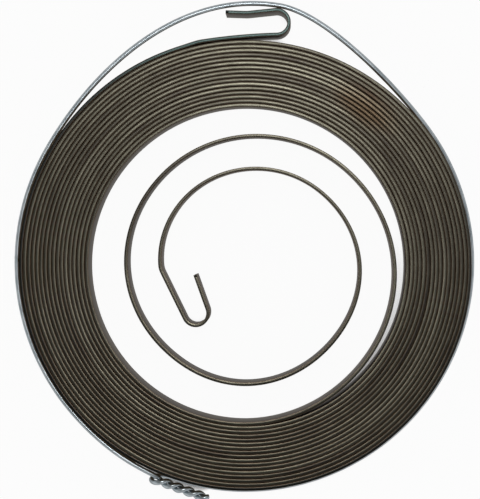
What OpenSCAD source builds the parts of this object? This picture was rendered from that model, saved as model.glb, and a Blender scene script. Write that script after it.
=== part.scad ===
// Spiral power spring, the kind that turns a recoil starter or a cable reel back. One long flat
// strip is wound on edge into a flat coil. Its inner end is bent into a crook that hooks into a
// hub, and its outer end into a hook for the housing. A soft binding wire runs once round the
// coil and over the hook, and holds the spring wound. Its two ends are twisted together.
// The coil lies on the XY plane with its axis on Z, so the strip's width is the coil's height.
// The strip is laid out from its outer end inwards, which is anticlockwise seen from above.

/* [Strip] */
// Thickness of the spring steel strip
strip_t = 0.6; // [0.5:0.01:0.64]
// Width of the strip, which is the height of the coil
strip_w = 9; // [7:0.5:12]

/* [Tight coil] */
// Outer radius of the coil where its last turn ends
coil_r = 40.8; // [38:0.1:46]
// Clear gap between neighbouring turns
turn_gap = 0.14; // [0.1:0.01:0.2]
// Number of turns in the tight coil
tight_turns = 16.45; // [12:0.05:17]
// Direction from the axis in which the last turn ends, in degrees
coil_end_angle = 108; // [100:1:116]
// How far the inner turns sit off the axis
drift = 0.2; // [0:0.05:0.25]
// Direction in which they sit off it, in degrees
drift_angle = 265; // [0:5:355]

/* [Loose inner turns] */
// Middle radius of the strip where the loose turns meet the crook
neck_r = 15.35; // [14:0.05:16]

/* [Crook at the inner end] */
// Middle radius of the bend between the first turn and the crook's shank
neck_bend_r = 3.6; // [2:0.1:5]
// Degrees that this bend turns
neck_turn = 23; // [15:0.5:30]
// Length of the crook's straight shank
shank = 9.2; // [7:0.1:10]
// Inside radius of the crook
crook_r = 1.9; // [1.6:0.1:2.2]
// Degrees that the crook turns back
crook_turn = 173.5; // [165:0.5:180]
// Length of the crook's free leg
crook_leg = 6.5; // [4:0.1:7]

/* [Hook at the outer end] */
// Straight length that leaves the coil
leave = 3.4; // [3.2:0.1:4]
// Middle radius of the slight bend that follows it
leave_bend_r = 10; // [8:0.5:14]
// Degrees that the slight bend turns
leave_turn = 9.5; // [8:0.5:10]
// Middle radius of the long flat run up to the hook
run_r = 109; // [90:1:130]
// Degrees that the long flat run turns
run_turn = 7; // [5:0.5:8]
// Inside radius of the hook
hook_r = 1.9; // [1.6:0.1:2.4]
// Degrees that the hook turns back
hook_turn = 184.5; // [182:0.5:187]
// Straight length after the hook
lip = 4.5; // [3:0.1:5]
// Middle radius of the wave near the tip
wave_r = 8; // [6:0.5:12]
// Degrees that the wave turns the tip outwards
wave_turn = 8; // [4:0.5:9]
// Straight length of the tip
tip = 3.3; // [2:0.1:3.8]

/* [Binding wire] */
// Diameter of the wire
wire_d = 0.9; // [0.7:0.05:1]
// Clearance where the wire lies against the strip or against itself
seat_gap = 0.05; // [0.04:0.01:0.1]
// Direction from the axis in which the wire leaves the coil for the hook, in degrees
wire_leaves = 150; // [144:6:156]
// Direction in which it meets the coil again beyond the hook
wire_meets = 36; // [30:6:42]
// Direction in which it reaches its lowest level
wire_lowest = -35; // [-50:1:-20]
// Direction in which the twisted ends begin
twist_angle = 248; // [243:1:251]
// Clear space between the coil and the twisted ends
twist_gap = 0.6; // [0.45:0.05:0.9]
// Length in which a strand of the twist goes round once
twist_pitch = 4.1; // [4:0.1:6]
// Length of the twisted ends
twist_length = 9.4; // [8:0.1:12]

/* [Hidden] */

// How far in the strip has come from the tight coil to the crook, at each eighth of a loose turn
loose_shares = [0, 0.06, 0.13, 0.27, 0.4, 0.49, 0.53, 0.57, 0.54, 0.58, 0.61, 0.74, 0.86, 0.94, 1];
// Heights of the wire's middle, as shares of the strip's width
hook_height_share = 0.92;
twist_height_share = 0.7;
under_height_share = 0.3;
low_height_share = 0.15;
// Handles of the wire's long curves, as shares of their spans
left_bow_share = 0.36;
right_bow_share = 0.25;
// Handles of the first strand at the coil and at the twist, as shares of the distance between them
lead_share = 0.6;
strand_share = 0.1;
// Handles of the wire's tight return bend, as shares of the distance that it bridges
leaving_share = 1;
return_share = 0.5;

// Angles in degrees
full_turn = 360;
half_turn = 180;
quarter_turn = 90;
eighth_turn = 45;
// How much the wire is lifted off the straight line from the hook's bend to its tip
lift_angle = 12;
// How much the twist leans towards the coil
twist_toe = 2;
// Where the first strand stands across the twist as it begins
strand_phase = 220;
// Stretch over which the first strand leaves the coil for the twist
lead_angle = 27;
// Stretch under the twist over which the wire still lies against the coil
under_angle = 4;

// Steps of the curves
coil_step = 6;
bend_step = 10;
strand_steps = 16;
long_steps = 14;
heading_step = 1;
wire_sides = 8;

// Worked out for the strip
pitch = strip_t + turn_gap;
end_r = coil_r - strip_t / 2;
tight_angle = full_turn * tight_turns;
tight_in_r = end_r - pitch * tight_turns;
loose_angle = eighth_turn * (len(loose_shares) - 1);
coil_angle = tight_angle + loose_angle;
share_before = -pitch * eighth_turn / full_turn / (tight_in_r - neck_r);
crook_mid_r = crook_r + strip_t / 2;
hook_mid_r = hook_r + strip_t / 2;

function dir(angle) = [cos(angle), sin(angle)];
function unit(v) = v / norm(v);
function last(list) = list[len(list) - 1];

// Share i of the loose turns, carried on past both ends of the list
function share(i) =
    i < 0 ? share_before :
    i < len(loose_shares) ? loose_shares[i] : 2 * loose_shares[i - 1] - loose_shares[i - 2];

// Smooth curve through four shares, with f from 0 to 1 between the middle two
function smooth_share(a, b, c, d, f) =
    b + f / 2 * (c - a + f * (2 * a - 5 * b + 4 * c - d + f * (3 * (b - c) + d - a)));

function loose_share(u) =
    let (i = min(floor(u), len(loose_shares) - 2))
    smooth_share(share(i - 1), share(i), share(i + 1), share(i + 2), u - i);

// Middle radius of an even strip, an angle in from its outer end
function even_r(wound) =
    wound < tight_angle
        ? end_r - pitch * wound / full_turn
        : tight_in_r - (tight_in_r - neck_r) * loose_share((wound - tight_angle) / eighth_turn);

// How far the drift of the inner turns moves it there. The drift grows all the way in through the
// tight coil, and is lost again in the loose turns.
function drift_out(wound) =
    drift * min(wound / tight_angle, (coil_angle - wound) / loose_angle)
        * cos(coil_end_angle + wound - drift_angle);

function strip_r(wound) = even_r(wound) + drift_out(wound);

function strip_point(wound) = strip_r(wound) * dir(coil_end_angle + wound);

// Points of a bent end that leaves p in a direction. Each move is a straight length, then a bend
// with a middle radius and the degrees that it turns, positive to the left.
function bent_end(p, towards, moves, i = 0) =
    i == len(moves) ? [] :
    let (
        turned = moves[i][2],
        start = p + moves[i][0] * dir(towards),
        arm = (turned < 0 ? -1 : 1) * moves[i][1],
        count = ceil(abs(turned) / bend_step),
        centre = start + arm * dir(towards + quarter_turn),
        bend = [for (k = [1:1:count]) centre - arm * dir(towards + quarter_turn + turned * k / count)],
        points = concat(moves[i][0] > 0 ? [start] : [], bend)
    )
    concat(points, bent_end(last(points), towards + turned, moves, i + 1));

coil_points = [for (i = [0:round(coil_angle / coil_step)]) strip_point(i * coil_step)];

// Crook, from the loose turns inwards
neck_along = strip_point(coil_angle) - strip_point(coil_angle - heading_step);
neck_heading = atan2(neck_along[1], neck_along[0]);
crook_moves = [[0, neck_bend_r, neck_turn], [shank, crook_mid_r, crook_turn], [crook_leg, 0, 0]];
crook_points = bent_end(last(coil_points), neck_heading, crook_moves);

// Flat run and hook, from the tight coil outwards
coil_end_heading = coil_end_angle - quarter_turn;
run_moves = [[leave, leave_bend_r, -leave_turn], [0, run_r, -run_turn]];
run_points = bent_end(coil_points[0], coil_end_heading, run_moves);
run_heading = coil_end_heading - leave_turn - run_turn;
hook_moves = [[0, hook_mid_r, hook_turn], [lip, wave_r, -wave_turn], [tip, 0, 0]];
hook_points = bent_end(last(run_points), run_heading, hook_moves);
hook_centre = last(run_points) + hook_mid_r * dir(run_heading + quarter_turn);

// Middle line of the whole strip, from the hook's tip to the crook's tip
outer_points = concat(run_points, hook_points);
middle = concat([for (i = [len(outer_points) - 1:-1:0]) outer_points[i]], coil_points, crook_points);
middle_last = len(middle) - 1;

// Point beside the middle line, mitred where the line bends
function side_point(i, offset) =
    let (
        before = max(i, 1),
        after = min(i, middle_last - 1),
        along_before = unit(middle[before] - middle[before - 1]),
        along_after = unit(middle[after + 1] - middle[after]),
        mitre = unit(along_before + along_after)
    )
    middle[i] + offset / (mitre * along_before) * [-mitre[1], mitre[0]];

// Worked out for the wire
wire_r = wire_d / 2;
strand_r = wire_r + seat_gap / 2;
hook_height = strip_w * hook_height_share;
twist_height = strip_w * twist_height_share;
under_height = strip_w * under_height_share;
low_height = strip_w * low_height_share;
up = [0, 0, 1];

function wrap(angle) = angle - full_turn * floor(angle / full_turn);
function raised(p, z) = [p[0], p[1], z];

// Direction of the coil's facet corner nearest to a direction. The wire has its own corners there,
// so the gap between wire and coil stays even.
function corner(angle) = coil_end_angle + coil_step * round((angle - coil_end_angle) / coil_step);

first_seat_angle = corner(twist_angle - lead_angle);
second_seat_angle = corner(twist_angle + under_angle - full_turn);
leaves_at = corner(wire_leaves);
meets_at = corner(wire_meets);

// Height that changes along half a wave from one direction to another, and is level beyond them
function eased(from, to, angle, from_angle, to_angle) =
    let (t = min(max((angle - from_angle) / (to_angle - from_angle), 0), 1))
    from + (to - from) * (1 - cos(half_turn * t)) / 2;

// Height of the wire's middle in a direction from the axis, greatest over the hook
function wire_height(angle) =
    angle > quarter_turn ? eased(hook_height, twist_height, angle, quarter_turn, twist_angle) :
    angle > wire_lowest ? eased(hook_height, low_height, angle, quarter_turn, wire_lowest) :
    eased(low_height, under_height, angle, wire_lowest, second_seat_angle);

// Radius of the coil's outer face in a direction from the axis
function face_r(angle) = strip_r(wrap(angle - coil_end_angle)) + strip_t / 2;

// Middle of the wire where it lies against the coil
function seated(angle) = raised((face_r(angle) + seat_gap + wire_r) * dir(angle), wire_height(angle));

// Stretch of wire that lies against the coil, clockwise from one corner to another
function seated_run(from, to) = [for (k = [0:round((from - to) / coil_step)]) seated(from - coil_step * k)];

// Curve between two points, both left out, which leaves and arrives along the given vectors
function curve(a, leaving, b, arriving, count) =
    [for (k = [1:count - 1])
        let (t = k / count, s = 1 - t)
        s^3 * a + 3 * s^2 * t * (a + leaving) + 3 * s * t^2 * (b - arriving) + t^3 * b];

// Span of wire between the coil and the hook, at the height for each direction
function bowed_span(a, a_heading, b, b_heading, bow_share) =
    let (
        leaving = bow_share * norm(b - a) * raised(dir(a_heading), 0),
        arriving = bow_share * norm(b - a) * raised(dir(b_heading), 0)
    )
    [for (p = curve(a, leaving, b, arriving, long_steps)) raised(p, wire_height(atan2(p[1], p[0])))];

// Where the wire crosses the hook's bend on its way past the tip's outer corner
hook_outer_r = hook_mid_r + strip_t / 2;
to_tip = side_point(0, strip_t / 2) - hook_centre;
touch_angle = atan2(to_tip[1], to_tip[0]) - acos(hook_outer_r / norm(to_tip)) - lift_angle;
over_hook_flat = hook_centre + (hook_outer_r + seat_gap + wire_r) * dir(touch_angle);
over_hook = raised(over_hook_flat, wire_height(atan2(over_hook_flat[1], over_hook_flat[0])));
over_hook_heading = touch_angle - quarter_turn;

// The twist's axis, with a frame across it: out from the coil, and up
twist_root = raised((face_r(twist_angle) + twist_gap + wire_d) * dir(twist_angle), twist_height);
twist_heading = twist_angle + quarter_turn + twist_toe;
twist_along = raised(dir(twist_heading), 0);
twist_out = raised(dir(twist_heading - quarter_turn), 0);

function strand_point(s, phase) =
    let (a = phase + full_turn * s / twist_pitch)
    twist_root + s * twist_along + strand_r * (cos(a) * twist_out + sin(a) * up);

// Direction in which a strand sets out along the twist
function strand_along(phase) =
    unit(twist_along + 2 * PI * strand_r / twist_pitch * (cos(phase) * up - sin(phase) * twist_out));

function strand(phase) =
    let (count = ceil(strand_steps * twist_length / twist_pitch))
    [for (k = [0:count]) strand_point(twist_length * k / count, phase)];

// First strand, which runs on up the left side of the coil
first_strand = strand(strand_phase);
first_seat = seated(first_seat_angle);
first_reach = norm(first_seat - first_strand[0]);
first_lead = curve(
    first_strand[0], -strand_share * first_reach * strand_along(strand_phase),
    first_seat, lead_share * first_reach * raised(dir(first_seat_angle - quarter_turn), 0), long_steps);

// Second strand, which comes from the right side below the twist, and bends up and back into it
second_strand = strand(strand_phase + half_turn);
second_seat = seated(second_seat_angle);
return_reach = norm(second_strand[0] - second_seat);
return_curve = curve(
    second_seat, leaving_share * return_reach * raised(dir(second_seat_angle - quarter_turn), 0),
    second_strand[0], return_share * return_reach * strand_along(strand_phase + half_turn), long_steps);

wire_path = concat(
    [for (i = [len(first_strand) - 1:-1:0]) first_strand[i]],
    first_lead,
    seated_run(first_seat_angle, leaves_at),
    bowed_span(
        seated(leaves_at), leaves_at - quarter_turn, over_hook, over_hook_heading, left_bow_share),
    [over_hook],
    bowed_span(
        over_hook, over_hook_heading, seated(meets_at), meets_at - quarter_turn, right_bow_share),
    seated_run(meets_at, second_seat_angle),
    return_curve,
    second_strand
);

// Round wire along a path that nowhere runs straight out from the axis
module tube(path, r, sides) {
    final = len(path) - 1;
    points = [for (i = [0:final])
        let (
            along = unit(path[min(i + 1, final)] - path[max(i - 1, 0)]),
            rise = unit(cross(raised(path[i], 0), along)),
            out = cross(along, rise)
        )
        for (k = [0:sides - 1])
            path[i] + r * (cos(full_turn * k / sides) * out + sin(full_turn * k / sides) * rise)];
    walls = [for (i = [0:final - 1], k = [0:sides - 1])
        let (next = (k + 1) % sides)
        [i * sides + k, i * sides + next, (i + 1) * sides + next, (i + 1) * sides + k]];
    start_cap = [for (k = [sides - 1:-1:0]) k];
    end_cap = [for (k = [0:sides - 1]) final * sides + k];
    polyhedron(points, concat(walls, [start_cap, end_cap]));
}

module spring_strip() {
    color([0.36, 0.34, 0.29])
        linear_extrude(strip_w)
            polygon(concat(
                [for (i = [0:middle_last]) side_point(i, strip_t / 2)],
                [for (i = [middle_last:-1:0]) side_point(i, -strip_t / 2)]
            ));
}

module binding_wire() {
    color([0.66, 0.7, 0.72])
        tube(wire_path, wire_r, wire_sides);
}

spring_strip();
binding_wire();
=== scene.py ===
"""Looks for the wound spiral power spring: the spring strip with its dressed, rounded edges, the
tie wire that holds it wound, and a pale table under a soft lamp. Lengths in the formulas are in
millimetres, and angles in degrees, anticlockwise from +X as seen from above.
"""

import math

import bpy
import numpy as np
from mathutils import Matrix, Vector


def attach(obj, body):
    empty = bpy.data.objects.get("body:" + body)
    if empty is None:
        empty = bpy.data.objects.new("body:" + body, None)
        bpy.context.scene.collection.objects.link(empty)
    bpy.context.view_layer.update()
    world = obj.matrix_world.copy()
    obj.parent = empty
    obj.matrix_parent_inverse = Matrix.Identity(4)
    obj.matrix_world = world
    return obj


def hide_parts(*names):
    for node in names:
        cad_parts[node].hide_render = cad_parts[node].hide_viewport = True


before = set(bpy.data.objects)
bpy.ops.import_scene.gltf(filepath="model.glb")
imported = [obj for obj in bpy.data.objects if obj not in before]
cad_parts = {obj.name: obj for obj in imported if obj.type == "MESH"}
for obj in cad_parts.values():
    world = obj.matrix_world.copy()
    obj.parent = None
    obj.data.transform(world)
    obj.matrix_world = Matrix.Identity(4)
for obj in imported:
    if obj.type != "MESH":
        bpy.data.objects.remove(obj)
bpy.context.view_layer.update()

MM = 0.001

# Strip
STRIP_T = 0.6
STRIP_W = 9.0
EDGE_R = 0.04

# Coil
COIL_R = 40.8
TURN_GAP = 0.14
TIGHT_TURNS = 16.45
COIL_END_ANGLE = 108.0
DRIFT = 0.2
DRIFT_ANGLE = 265.0
NECK_R = 15.35
LOOSE_SHARES = np.array([0, 0.06, 0.13, 0.27, 0.4, 0.49, 0.53, 0.57, 0.54, 0.58, 0.61, 0.74, 0.86, 0.94, 1])

# Hooks, as moves of a straight length, a bend's middle radius and its degrees
CROOK_MOVES = [(0, 3.6, 23), (9.2, 2.2, 173.5), (6.5, 0, 0)]
RUN_MOVES = [(3.4, 10, -9.5), (0, 109, -7)]
HOOK_MOVES = [(0, 2.2, 184.5), (4.5, 8, -8), (3.3, 0, 0)]

# Tie wire
WIRE_R = 0.45
SEAT_GAP = 0.05
WIRE_LEAVES = 150.0
WIRE_MEETS = 36.0
WIRE_LOWEST = -35.0
FIRST_SEAT = 222.0
SECOND_SEAT = -108.0
TWIST_ANGLE = 248.0
TWIST_GAP = 0.6
TWIST_PITCH = 4.1
TWIST_LENGTH = 9.4
TWIST_TOE = 2.0
STRAND_PHASE = 220.0
LIFT_ANGLE = 12.0
HOOK_HEIGHT = 0.92 * STRIP_W
TWIST_HEIGHT = 0.7 * STRIP_W
UNDER_HEIGHT = 0.3 * STRIP_W
LOW_HEIGHT = 0.15 * STRIP_W

PITCH = STRIP_T + TURN_GAP
END_R = COIL_R - STRIP_T / 2
TIGHT_ANGLE = 360 * TIGHT_TURNS
TIGHT_IN_R = END_R - PITCH * TIGHT_TURNS
COIL_ANGLE = TIGHT_ANGLE + 45 * (len(LOOSE_SHARES) - 1)
STRAND_R = WIRE_R + SEAT_GAP / 2
# Way round the section from its start to the middle of the top edge
TOP_MIDDLE = STRIP_W - 2 * EDGE_R + 9 * 2 * EDGE_R * math.sin(math.radians(15)) / 1.5 + STRIP_T / 2 - EDGE_R
UP = np.array([0.0, 0.0, 1.0])


def direction(angle):
    """Unit vectors in the plane at these angles."""
    turned = np.radians(angle)
    return np.stack([np.cos(turned), np.sin(turned)], -1)


def unit(vectors):
    return vectors / np.linalg.norm(vectors, axis=-1, keepdims=True)


def loose_share(u):
    """Share of the way in from the tight coil to the crook, u eighths of a turn along: a smooth
    cubic through the four shares round u, carried on past both ends of the list."""
    before = -PITCH / 8 / (TIGHT_IN_R - NECK_R)
    after = 2 * LOOSE_SHARES[-1] - LOOSE_SHARES[-2]
    shares = np.concatenate([[before], LOOSE_SHARES, [after]])
    i = np.clip(np.floor(u).astype(int), 0, len(LOOSE_SHARES) - 2)
    f = u - i
    a, b, c, d = shares[i], shares[i + 1], shares[i + 2], shares[i + 3]
    return b + f / 2 * (c - a + f * (2 * a - 5 * b + 4 * c - d + f * (3 * (b - c) + d - a)))


def coil_radius(wound):
    """Middle radius of the strip, an angle in from its outer end: it falls by one pitch a turn in
    the tight coil, and follows the loose shares after that. The inner turns drift off the axis."""
    tight = END_R - PITCH * wound / 360
    loose = TIGHT_IN_R - (TIGHT_IN_R - NECK_R) * loose_share((wound - TIGHT_ANGLE) / 45)
    drift = DRIFT * np.minimum(wound / TIGHT_ANGLE, (COIL_ANGLE - wound) / (COIL_ANGLE - TIGHT_ANGLE))
    return np.where(wound < TIGHT_ANGLE, tight, loose) + drift * np.cos(np.radians(COIL_END_ANGLE + wound - DRIFT_ANGLE))


def uneven(wound):
    """How far a turn strays from its even place, from -1 to 1: a few slow waves that never match
    up from turn to turn, and that die out at both ends of the coil."""
    waves = 0.45 * np.sin(np.radians(wound * 0.83)) + 0.35 * np.sin(np.radians(wound * 1.37 + 50))
    waves = waves + 0.2 * np.sin(np.radians(wound * 3.19 + 110))
    fade = np.clip(wound / 300, 0, 1) * np.clip((TIGHT_ANGLE - wound) / 200, 0, 1)
    return waves * fade


def coil_line():
    """Middle line of the coil, from its outer end inwards."""
    wound = np.linspace(0, COIL_ANGLE, round(COIL_ANGLE / 2) + 1)
    return (coil_radius(wound) + 0.03 * uneven(wound))[:, None] * direction(COIL_END_ANGLE + wound)


def bent_end(start, heading, moves):
    """Points of a bent end that leaves start at a heading. Each move is a straight length, then a
    bend with a middle radius and the degrees that it turns, positive to the left. Returns the
    points after the start, the last heading and the centre of the last bend."""
    parts = []
    centre = None
    for straight, radius, turned in moves:
        if straight > 0:
            steps = np.linspace(0, straight, 1 + math.ceil(straight / 0.6))[1:, None]
            parts.append(start + steps * direction(heading))
            start = parts[-1][-1]
        if radius > 0:
            arm = math.copysign(radius, turned)
            centre = start + arm * direction(heading + 90)
            count = max(4, math.ceil(abs(turned) / 6), math.ceil(radius * math.radians(abs(turned))))
            bend = np.linspace(0, turned, count + 1)[1:]
            parts.append(centre - arm * direction(heading + 90 + bend))
            start = parts[-1][-1]
            heading += turned
    return np.concatenate(parts), heading, centre


coil = coil_line()
run, run_heading, _ = bent_end(coil[0], COIL_END_ANGLE - 90, RUN_MOVES)
hook, _, _ = bent_end(run[-1], run_heading, HOOK_MOVES)
HOOK_CENTRE = run[-1] + HOOK_MOVES[0][1] * direction(run_heading + 90)
neck_along = NECK_R * direction(COIL_END_ANGLE + COIL_ANGLE) - coil_radius(COIL_ANGLE - 1) * direction(
    COIL_END_ANGLE + COIL_ANGLE - 1
)
crook, _, _ = bent_end(coil[-1], math.degrees(math.atan2(neck_along[1], neck_along[0])), CROOK_MOVES)
strip_middle = np.concatenate([hook[::-1], run[::-1], coil, crook])


def strip_section():
    """Outline of the strip's section, anticlockwise seen along the strip: across by up, a flat
    rectangle with its four corners dressed to quarter rounds."""
    quarter = np.linspace(0, 90, 4)
    corners = []
    for turn, across, height in (
        (-90, STRIP_T / 2 - EDGE_R, EDGE_R),
        (0, STRIP_T / 2 - EDGE_R, STRIP_W - EDGE_R),
        (90, EDGE_R - STRIP_T / 2, STRIP_W - EDGE_R),
        (180, EDGE_R - STRIP_T / 2, EDGE_R),
    ):
        corners.append(np.array([across, height]) + EDGE_R * direction(turn + quarter))
    return np.concatenate(corners)


def strip_rings():
    """The section carried along the middle line, square to it, with the length along the strip."""
    along = unit(np.gradient(strip_middle, axis=0))
    left = np.stack([-along[:, 1], along[:, 0]], -1)
    section = strip_section()
    flat = strip_middle[:, None] - section[None, :, :1] * left[:, None]
    height = np.broadcast_to(section[:, 1:], flat.shape[:1] + (len(section), 1))
    return np.concatenate([flat, height], -1)


def wire_height(angle):
    """Height of the wire's middle in a direction from the axis: half a wave down from the hook to
    the twist on the left side, another down to its lowest level on the right side, and a third up
    from there to where the wire bends back."""

    def eased(start, end, start_angle, end_angle):
        t = np.clip((angle - start_angle) / (end_angle - start_angle), 0, 1)
        return start + (end - start) * (1 - np.cos(np.pi * t)) / 2

    left = eased(HOOK_HEIGHT, TWIST_HEIGHT, 90, TWIST_ANGLE)
    right = eased(HOOK_HEIGHT, LOW_HEIGHT, 90, WIRE_LOWEST)
    bottom = eased(LOW_HEIGHT, UNDER_HEIGHT, WIRE_LOWEST, SECOND_SEAT)
    return np.where(angle > 90, left, np.where(angle > WIRE_LOWEST, right, bottom))


def raised(flat, height):
    flat = np.asarray(flat, float)
    return np.concatenate([flat, np.broadcast_to(np.asarray(height, float)[..., None], flat.shape[:-1] + (1,))], -1)


def seated(angle):
    """Middle of the wire where it lies against the coil's outer face."""
    angle = np.asarray(angle, float)
    face = coil_radius((angle - COIL_END_ANGLE) % 360) + STRIP_T / 2
    return raised((face + SEAT_GAP + WIRE_R)[..., None] * direction(angle), wire_height(angle))


def curve(a, leaving, b, arriving, count=40):
    """Cubic curve between two points, both left out, which leaves and arrives along the vectors."""
    t = np.linspace(0, 1, count + 1)[1:-1, None]
    s = 1 - t
    return s**3 * a + 3 * s**2 * t * (a + leaving) + 3 * s * t**2 * (b - arriving) + t**3 * b


def bowed_span(a, a_heading, b, b_heading, bow):
    """Wire between the coil and the hook, at the height for each direction."""
    handle = bow * np.linalg.norm(b - a)
    flat = curve(a, handle * raised(direction(a_heading), 0), b, handle * raised(direction(b_heading), 0))
    return raised(flat[:, :2], wire_height(np.degrees(np.arctan2(flat[:, 1], flat[:, 0]))))


TWIST_ROOT = raised(
    (coil_radius(TWIST_ANGLE - COIL_END_ANGLE) + STRIP_T / 2 + TWIST_GAP + 2 * WIRE_R) * direction(TWIST_ANGLE),
    TWIST_HEIGHT,
)
TWIST_ALONG = raised(direction(TWIST_ANGLE + 90 + TWIST_TOE), 0)
TWIST_OUT = raised(direction(TWIST_ANGLE + TWIST_TOE), 0)


def strand(phase):
    """Screw line round the twist's axis, one pitch a turn."""
    s = np.linspace(0, TWIST_LENGTH, 100)[:, None]
    turned = np.radians(phase) + 2 * np.pi * s / TWIST_PITCH
    return TWIST_ROOT + s * TWIST_ALONG + STRAND_R * (np.cos(turned) * TWIST_OUT + np.sin(turned) * UP)


def strand_along(phase):
    """Direction in which a strand sets out along the twist."""
    turned = math.radians(phase)
    lean = 2 * math.pi * STRAND_R / TWIST_PITCH
    return unit(TWIST_ALONG + lean * (math.cos(turned) * UP - math.sin(turned) * TWIST_OUT))


def wire_line():
    """Middle line of the wire: back along the first strand, up the left side of the coil, over the
    hook, down the right side, on below the twist, and round a bend up into the second strand."""
    over = STRIP_T / 2 + HOOK_MOVES[0][1]
    tip_along = unit(hook[-1] - hook[-2])
    to_tip = hook[-1] + STRIP_T / 2 * np.array([tip_along[1], -tip_along[0]]) - HOOK_CENTRE
    touch = math.degrees(math.atan2(to_tip[1], to_tip[0]) - math.acos(over / np.linalg.norm(to_tip))) - LIFT_ANGLE
    over_flat = HOOK_CENTRE + (over + SEAT_GAP + WIRE_R) * direction(touch)
    over_hook = raised(over_flat, wire_height(math.degrees(math.atan2(over_flat[1], over_flat[0]))))
    first, second = strand(STRAND_PHASE), strand(STRAND_PHASE + 180)
    first_reach = np.linalg.norm(seated(FIRST_SEAT) - first[0])
    return_reach = np.linalg.norm(second[0] - seated(SECOND_SEAT))
    return np.concatenate([
        first[::-1],
        curve(
            first[0], -0.1 * first_reach * strand_along(STRAND_PHASE),
            seated(FIRST_SEAT), 0.6 * first_reach * raised(direction(FIRST_SEAT - 90), 0),
        ),
        seated(np.linspace(FIRST_SEAT, WIRE_LEAVES, 60)),
        bowed_span(seated(WIRE_LEAVES), WIRE_LEAVES - 90, over_hook, touch - 90, 0.36),
        [over_hook],
        bowed_span(over_hook, touch - 90, seated(WIRE_MEETS), WIRE_MEETS - 90, 0.25),
        seated(np.linspace(WIRE_MEETS, SECOND_SEAT, 120)),
        curve(
            seated(SECOND_SEAT), return_reach * raised(direction(SECOND_SEAT - 90), 0),
            second[0], 0.5 * return_reach * strand_along(STRAND_PHASE + 180),
        ),
        second,
    ])


def wire_rings():
    """A circle carried along the wire's middle line, square to it. It is turned by the direction out
    from the axis, in which the wire nowhere runs."""
    middle = wire_line()
    along = unit(np.gradient(middle, axis=0))
    rise = unit(np.cross(middle * (1, 1, 0), along))
    out = np.cross(along, rise)
    turned = np.linspace(0, 2 * np.pi, 20, endpoint=False)[None, :, None]
    circle = -np.cos(turned) * out[:, None] + np.sin(turned) * rise[:, None]
    return middle[:, None] + WIRE_R * circle


def swept_piece(name, rings, material, node):
    """A skin of quads over rings of points, stations by corners, closed by a flat cap at either
    end. Its UV map holds the length along the piece and the way round it, both in millimetres."""
    stations, corners, _ = rings.shape
    point = np.arange(stations * corners).reshape(stations, corners)
    here, ahead = point[:-1], point[1:]
    walls = np.stack([here, np.roll(here, -1, 1), np.roll(ahead, -1, 1), ahead], -1).reshape(-1, 4)
    loops = np.concatenate([walls.ravel(), point[0, ::-1], point[-1]])
    sizes = np.concatenate([np.full(len(walls), 4), [corners, corners]])
    middle = rings.mean(1)
    length = np.concatenate([[0], np.cumsum(np.linalg.norm(np.diff(middle, axis=0), axis=1))])
    closed = np.concatenate([rings[0], rings[0, :1]])
    round_way = np.concatenate([[0], np.cumsum(np.linalg.norm(np.diff(closed, axis=0), axis=1))])
    u = np.stack(np.broadcast_arrays(length[:-1, None], length[:-1, None], length[1:, None], length[1:, None]), -1)
    u = np.broadcast_to(u, (stations - 1, corners, 4))
    v = np.stack([round_way[:-1], round_way[1:], round_way[1:], round_way[:-1]], -1)
    v = np.broadcast_to(v[None], (stations - 1, corners, 4))
    caps = np.concatenate([
        np.stack([np.full(corners, length[0]), round_way[:-1][::-1]], -1),
        np.stack([np.full(corners, length[-1]), round_way[:-1]], -1),
    ])
    uv = np.concatenate([np.stack([u, v], -1).reshape(-1, 2), caps])

    mesh = bpy.data.meshes.new(name)
    mesh.vertices.add(stations * corners)
    mesh.vertices.foreach_set("co", (rings * MM).ravel())
    mesh.loops.add(len(loops))
    mesh.loops.foreach_set("vertex_index", loops)
    mesh.polygons.add(len(sizes))
    mesh.polygons.foreach_set("loop_start", np.cumsum(sizes) - sizes)
    mesh.uv_layers.new(name="along_and_round").uv.foreach_set("vector", uv.ravel())
    mesh.update(calc_edges=True)
    mesh.shade_smooth()
    mesh.polygons[len(sizes) - 1].use_smooth = False
    mesh.polygons[len(sizes) - 2].use_smooth = False
    mesh.materials.append(material)
    piece = bpy.data.objects.new(name, mesh)
    bpy.context.scene.collection.objects.link(piece)
    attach(piece, "root")
    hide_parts(node)
    return piece


def linear(hex_colour):
    """sRGB hex value to the linear colour that the sockets take."""
    srgb = np.array([int(hex_colour[i : i + 2], 16) for i in (1, 3, 5)]) / 255
    return (*np.where(srgb <= 0.04045, srgb / 12.92, ((srgb + 0.055) / 1.055) ** 2.4).tolist(), 1.0)


def add_node(tree, kind, settings=None, **sockets):
    """Adds a node to a tree. Settings are the node's own properties. Each socket, named with
    underscores for blanks, gets a value or a link from another node's output."""
    node = tree.nodes.new(kind)
    for key, value in (settings or {}).items():
        setattr(node, key, value)
    for key, value in sockets.items():
        socket = node.inputs[int(key[1:])] if key[0] == "_" else node.inputs[key.replace("_", " ")]
        if isinstance(value, bpy.types.NodeSocket):
            tree.links.new(value, socket)
        else:
            socket.default_value = value
    return node


def new_material(name):
    material = bpy.data.materials.new(name)
    material.use_nodes = True
    material.node_tree.nodes.clear()
    return material, material.node_tree


def ramp(tree, factor, stops):
    """Colour ramp with its stops as (position, hex colour)."""
    node = add_node(tree, "ShaderNodeValToRGB", Fac=factor)
    elements = node.color_ramp.elements
    elements[0].position, elements[-1].position = stops[0][0], stops[-1][0]
    elements[0].color, elements[-1].color = linear(stops[0][1]), linear(stops[-1][1])
    for position, colour in stops[1:-1]:
        elements.new(position).color = linear(colour)
    return node.outputs["Color"]


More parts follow.
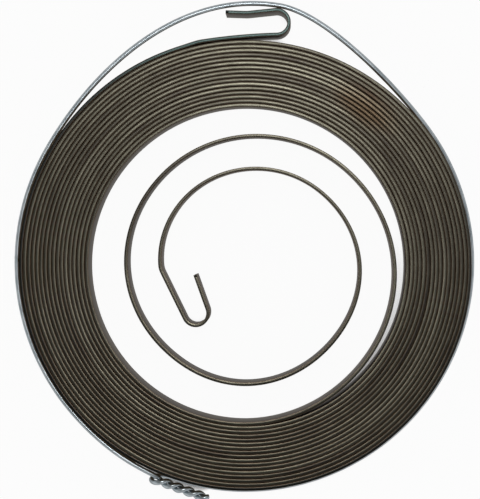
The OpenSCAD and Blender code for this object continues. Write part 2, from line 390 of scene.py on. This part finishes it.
def mixed(tree, factor, first, second):
    """Colour between two others. Each is an output or a linear colour."""
    node = add_node(tree, "ShaderNodeMix", {"data_type": "RGBA"}, Factor=factor)
    for socket, colour in ((node.inputs[6], first), (node.inputs[7], second)):
        if isinstance(colour, bpy.types.NodeSocket):
            tree.links.new(colour, socket)
        else:
            socket.default_value = colour
    return node.outputs[2]


def share_along(tree, length, start, end, at_start, at_end):
    """Share of a colour, which dies out along the strip between two lengths."""
    return add_node(
        tree, "ShaderNodeMapRange", {"interpolation_type": "SMOOTHSTEP"}, Value=length,
        From_Min=start, From_Max=end, To_Min=at_start, To_Max=at_end,
    ).outputs["Result"]


def tempered_spring_steel():
    """Cold-rolled spring steel strip, hardened and tempered in oil: a dark brown-grey temper film
    over metal, half glossy from the rolls, paler or darker over lengths of a few centimetres and
    in patches of a few millimetres. The flat faces are browner than the slit edges. The outer end
    was heated to bend the hook, which left its edges blue-grey. The slit edges are darker along
    the run and the first turn, fading out towards the end of that turn."""
    material, tree = new_material("tempered_spring_steel")
    place = add_node(tree, "ShaderNodeUVMap", {"uv_map": "along_and_round"}).outputs["UV"]
    split = add_node(tree, "ShaderNodeSeparateXYZ", Vector=place).outputs
    stretched = add_node(tree, "ShaderNodeMapping", Vector=place, Scale=(0.16, 0.8, 1)).outputs["Vector"]
    patches = add_node(tree, "ShaderNodeTexNoise", Vector=stretched, Scale=1.0, Detail=4.0, Roughness=0.6)
    drawn_out = add_node(tree, "ShaderNodeMapping", Vector=place, Scale=(0.022, 0.05, 1)).outputs["Vector"]
    lengths = add_node(tree, "ShaderNodeTexNoise", Vector=drawn_out, Scale=1.0, Detail=2.0)
    both = add_node(
        tree, "ShaderNodeMix", {"data_type": "FLOAT"}, Factor=0.6, A=patches.outputs["Fac"], B=lengths.outputs["Fac"]
    ).outputs["Result"]
    # The slit edges darken along the run and the first turn, fading out between 150 and 290 mm from the tip.
    edge = mixed(
        tree, share_along(tree, split["X"], 150.0, 290.0, 0.85, 0.0),
        ramp(tree, both, [(0.34, "#2C2925"), (0.5, "#403E36"), (0.66, "#535147")]), linear("#17191A"),
    )
    edge = mixed(tree, share_along(tree, split["X"], 30.0, 60.0, 0.9, 0.0), edge, linear("#2B3432"))
    face = ramp(tree, both, [(0.35, "#483924"), (0.65, "#6C5A3F")])
    from_top = add_node(tree, "ShaderNodeMath", {"operation": "SUBTRACT"}, _0=split["Y"], _1=TOP_MIDDLE).outputs[0]
    from_top = add_node(tree, "ShaderNodeMath", {"operation": "ABSOLUTE"}, _0=from_top).outputs[0]
    # Painted light: the faces are painted paler near the top edge, fading out between 0.5 and 1.8 mm round the
    # section from the top's middle. This lightens the gaps between the turns.
    painted_light_near_top = add_node(
        tree, "ShaderNodeMapRange", Value=from_top, From_Min=0.5, From_Max=1.8, To_Min=1.0, To_Max=0.0
    ).outputs["Result"]
    face = mixed(tree, painted_light_near_top, face, linear("#7C6752"))
    on_top = add_node(
        tree, "ShaderNodeMapRange", Value=from_top, From_Min=0.22, From_Max=0.3, To_Min=1.0, To_Max=0.0
    ).outputs["Result"]
    stained = add_node(tree, "ShaderNodeTexCoord").outputs["Object"]
    stained = add_node(tree, "ShaderNodeMapping", {"vector_type": "TEXTURE"}, Vector=stained,
        Location=(21.5 * MM, 28.0 * MM, STRIP_W * MM), Rotation=(0, 0, math.radians(-35)), Scale=(9 * MM, 4 * MM, 9 * MM),
    ).outputs["Vector"]
    stained = add_node(tree, "ShaderNodeVectorMath", {"operation": "LENGTH"}, _0=stained).outputs["Value"]
    stained = add_node(
        tree, "ShaderNodeMapRange", {"interpolation_type": "SMOOTHSTEP"}, Value=stained,
        From_Min=0.2, From_Max=1.0, To_Min=0.5, To_Max=0.0,
    ).outputs["Result"]
    film = mixed(tree, stained, mixed(tree, on_top, face, edge), linear("#3C2813"))
    grain = add_node(tree, "ShaderNodeMapping", Vector=place, Scale=(0.5, 9, 1)).outputs["Vector"]
    rolling = add_node(tree, "ShaderNodeTexNoise", Vector=grain, Scale=1.0, Detail=3.0)
    gloss = add_node(tree, "ShaderNodeMapRange", Value=rolling.outputs["Fac"], To_Min=0.17, To_Max=0.32).outputs["Result"]
    gloss = add_node(tree, "ShaderNodeMix", {"data_type": "FLOAT"}, Factor=on_top, A=0.42, B=gloss).outputs["Result"]
    shader = add_node(tree, "ShaderNodeBsdfPrincipled", Base_Color=film, Metallic=1.0, Roughness=gloss)
    add_node(tree, "ShaderNodeOutputMaterial", Surface=shader.outputs["BSDF"])
    return material


def galvanised_wire():
    """Soft steel tie wire, drawn and then coated with zinc: pale blue-grey, bright along its
    highlight, with a faint cloudiness where the zinc is thicker."""
    material, tree = new_material("galvanised_steel_wire")
    place = add_node(tree, "ShaderNodeUVMap", {"uv_map": "along_and_round"}).outputs["UV"]
    stretched = add_node(tree, "ShaderNodeMapping", Vector=place, Scale=(0.35, 1.2, 1)).outputs["Vector"]
    cloud = add_node(tree, "ShaderNodeTexNoise", Vector=stretched, Scale=1.0, Detail=4.0)
    zinc = ramp(tree, cloud.outputs["Fac"], [(0.35, "#A9B3B8"), (0.65, "#CDD5D9")])
    gloss = add_node(tree, "ShaderNodeMapRange", Value=cloud.outputs["Fac"], To_Min=0.2, To_Max=0.42)
    shader = add_node(
        tree, "ShaderNodeBsdfPrincipled",
        Base_Color=zinc, Metallic=1.0, Roughness=gloss.outputs["Result"],
    )
    add_node(tree, "ShaderNodeOutputMaterial", Surface=shader.outputs["BSDF"])
    return material


def white_card():
    """Matt white card under the part. The camera sees it as near white, except where little light
    gets in: in narrow places, and inside an ellipse set between the coil and the twist wherever the
    part hides much of the sky around. There the card is painted a dark grey as shade, a painted
    shadow. It keeps the part's soft shadow. To the part itself it is the grey of a card in a dim room."""
    material, tree = new_material("matt_white_card")
    rays = add_node(tree, "ShaderNodeLightPath")
    openness = add_node(tree, "ShaderNodeAmbientOcclusion", {"samples": 16}, Distance=2.5 * MM).outputs["AO"]
    open_share = add_node(
        tree, "ShaderNodeMapRange", {"interpolation_type": "SMOOTHSTEP"}, Value=openness, From_Min=0.1, From_Max=0.45
    ).outputs["Result"]
    # Painted shadow between the coil and the twist: inside this ellipse the card turns to its painted dark grey
    # wherever the part hides much of the sky.
    here = add_node(tree, "ShaderNodeTexCoord").outputs["Object"]
    shadow_middle = (TWIST_ROOT + 0.3 * TWIST_LENGTH * TWIST_ALONG - 0.8 * TWIST_OUT) * MM
    shadow_middle[2] = 0
    from_middle = add_node(
        tree, "ShaderNodeMapping", {"vector_type": "TEXTURE"}, Vector=here,
        Location=shadow_middle, Rotation=(0, 0, math.radians(TWIST_ANGLE + TWIST_TOE)),
        Scale=(1.5 * MM, 0.7 * TWIST_LENGTH * MM, 1),
    ).outputs["Vector"]
    away = add_node(tree, "ShaderNodeVectorMath", {"operation": "LENGTH"}, _0=from_middle).outputs["Value"]
    outside_painted_shadow = add_node(
        tree, "ShaderNodeMapRange", {"interpolation_type": "SMOOTHSTEP"}, Value=away, From_Min=0.75, From_Max=1.0
    ).outputs["Result"]
    sky = add_node(tree, "ShaderNodeAmbientOcclusion", {"samples": 16}, Distance=STRIP_W * MM).outputs["AO"]
    sky_share = add_node(
        tree, "ShaderNodeMapRange", {"interpolation_type": "SMOOTHSTEP"}, Value=sky, From_Min=0.45, From_Max=0.7
    ).outputs["Result"]
    unshaded = add_node(tree, "ShaderNodeMath", {"operation": "MAXIMUM"}, _0=outside_painted_shadow, _1=sky_share).outputs[0]
    light_share = add_node(tree, "ShaderNodeMath", {"operation": "MULTIPLY"}, _0=open_share, _1=unshaded).outputs[0]
    white_share = add_node(tree, "ShaderNodeMath", {"operation": "MULTIPLY"}, _0=light_share, _1=0.95).outputs[0]
    matt = add_node(tree, "ShaderNodeBsdfDiffuse", Color=linear("#F4F4F2"))
    # Dark grey painted in as shade where the camera sees little light.
    dim = add_node(tree, "ShaderNodeBsdfDiffuse", Color=linear("#3A3A38"))
    mirrored = add_node(tree, "ShaderNodeEmission", Color=linear("#FFFFFF"), Strength=0.42)
    white = add_node(tree, "ShaderNodeEmission", Color=linear("#FFFFFF"), Strength=1.0)
    card = add_node(tree, "ShaderNodeMixShader", Fac=light_share, _1=dim.outputs["BSDF"], _2=matt.outputs["BSDF"])
    seen = add_node(tree, "ShaderNodeMixShader", Fac=white_share, _1=card.outputs["Shader"], _2=white.outputs["Emission"])
    both = add_node(
        tree, "ShaderNodeMixShader", Fac=rays.outputs["Is Camera Ray"],
        _1=mirrored.outputs["Emission"], _2=seen.outputs["Shader"],
    )
    add_node(tree, "ShaderNodeOutputMaterial", Surface=both.outputs["Shader"])
    return material


def table():
    """Flat card, a metre and a half across, just under the strip's lower edge."""
    half, under = 0.75, -0.0003
    mesh = bpy.data.meshes.new("white_card")
    mesh.from_pydata(
        [(-half, -half, under), (half, -half, under), (half, half, under), (-half, half, under)], [], [(0, 1, 2, 3)]
    )
    mesh.materials.append(white_card())
    card = bpy.data.objects.new("white_card", mesh)
    bpy.context.scene.collection.objects.link(card)


def soft_lamp(name, place, aim, size, watts, colour="#FFFFFF"):
    light = bpy.data.lights.new(name, "AREA")
    light.shape = "DISK"
    light.size = size
    light.energy = watts
    light.color = linear(colour)[:3]
    lamp = bpy.data.objects.new(name, light)
    lamp.location = place
    lamp.rotation_euler = (Vector(aim) - Vector(place)).to_track_quat("-Z", "Y").to_euler()
    bpy.context.scene.collection.objects.link(lamp)


def studio():
    """Even grey surroundings, which the camera sees as white, and two soft lamps."""
    world = bpy.data.worlds.new("studio")
    bpy.context.scene.world = world
    world.use_nodes = True
    tree = world.node_tree
    tree.nodes.clear()
    rays = add_node(tree, "ShaderNodeLightPath")
    way = add_node(tree, "ShaderNodeTexCoord").outputs["Generated"]
    height = add_node(tree, "ShaderNodeSeparateXYZ", Vector=way).outputs["Z"]
    brightness = add_node(
        tree, "ShaderNodeMapRange", {"interpolation_type": "SMOOTHSTEP"}, Value=height,
        From_Min=0.1, From_Max=0.8, To_Min=0.9, To_Max=0.24,
    ).outputs["Result"]
    room = add_node(tree, "ShaderNodeBackground", Color=linear("#FFFFFF"), Strength=brightness)
    white = add_node(tree, "ShaderNodeBackground", Color=linear("#FFFFFF"), Strength=1.0)
    both = add_node(tree, "ShaderNodeMixShader", Fac=rays.outputs["Is Camera Ray"])
    tree.links.new(room.outputs["Background"], both.inputs[1])
    tree.links.new(white.outputs["Background"], both.inputs[2])
    add_node(tree, "ShaderNodeOutputWorld", Surface=both.outputs["Shader"])
    soft_lamp("lamp_above_the_hook", (0.0, 0.12, 0.9), (0, 0, 0), 0.14, 1.15)
    soft_lamp("lamp_at_the_right", (0.12, 0.16, 0.9), (0, 0, 0), 0.4, 0.3)


def photo_camera():
    """Looks almost straight down from where perspective puts the photo's camera."""
    data = bpy.data.cameras.new("photo_camera")
    data.lens = 165.7
    data.sensor_width = 36
    data.clip_start = 0.01
    camera = bpy.data.objects.new("photo_camera", data)
    place, aim = Vector((7.98, 9.29, 419)) * MM, Vector((-1.02, 2.73, 9)) * MM
    back = (place - aim).normalized()
    right = Vector((0, 1, 0)).cross(back).normalized()
    camera.matrix_world = Matrix.Translation(place) @ Matrix((right, back.cross(right), back)).transposed().to_4x4()
    bpy.context.scene.collection.objects.link(camera)
    bpy.context.scene.camera = camera


swept_piece("wound_strip", strip_rings(), tempered_spring_steel(), "spring_strip")
swept_piece("tie_wire", wire_rings(), galvanised_wire(), "binding_wire")
table()
studio()
photo_camera()
bpy.context.scene.view_settings.view_transform = "Standard"
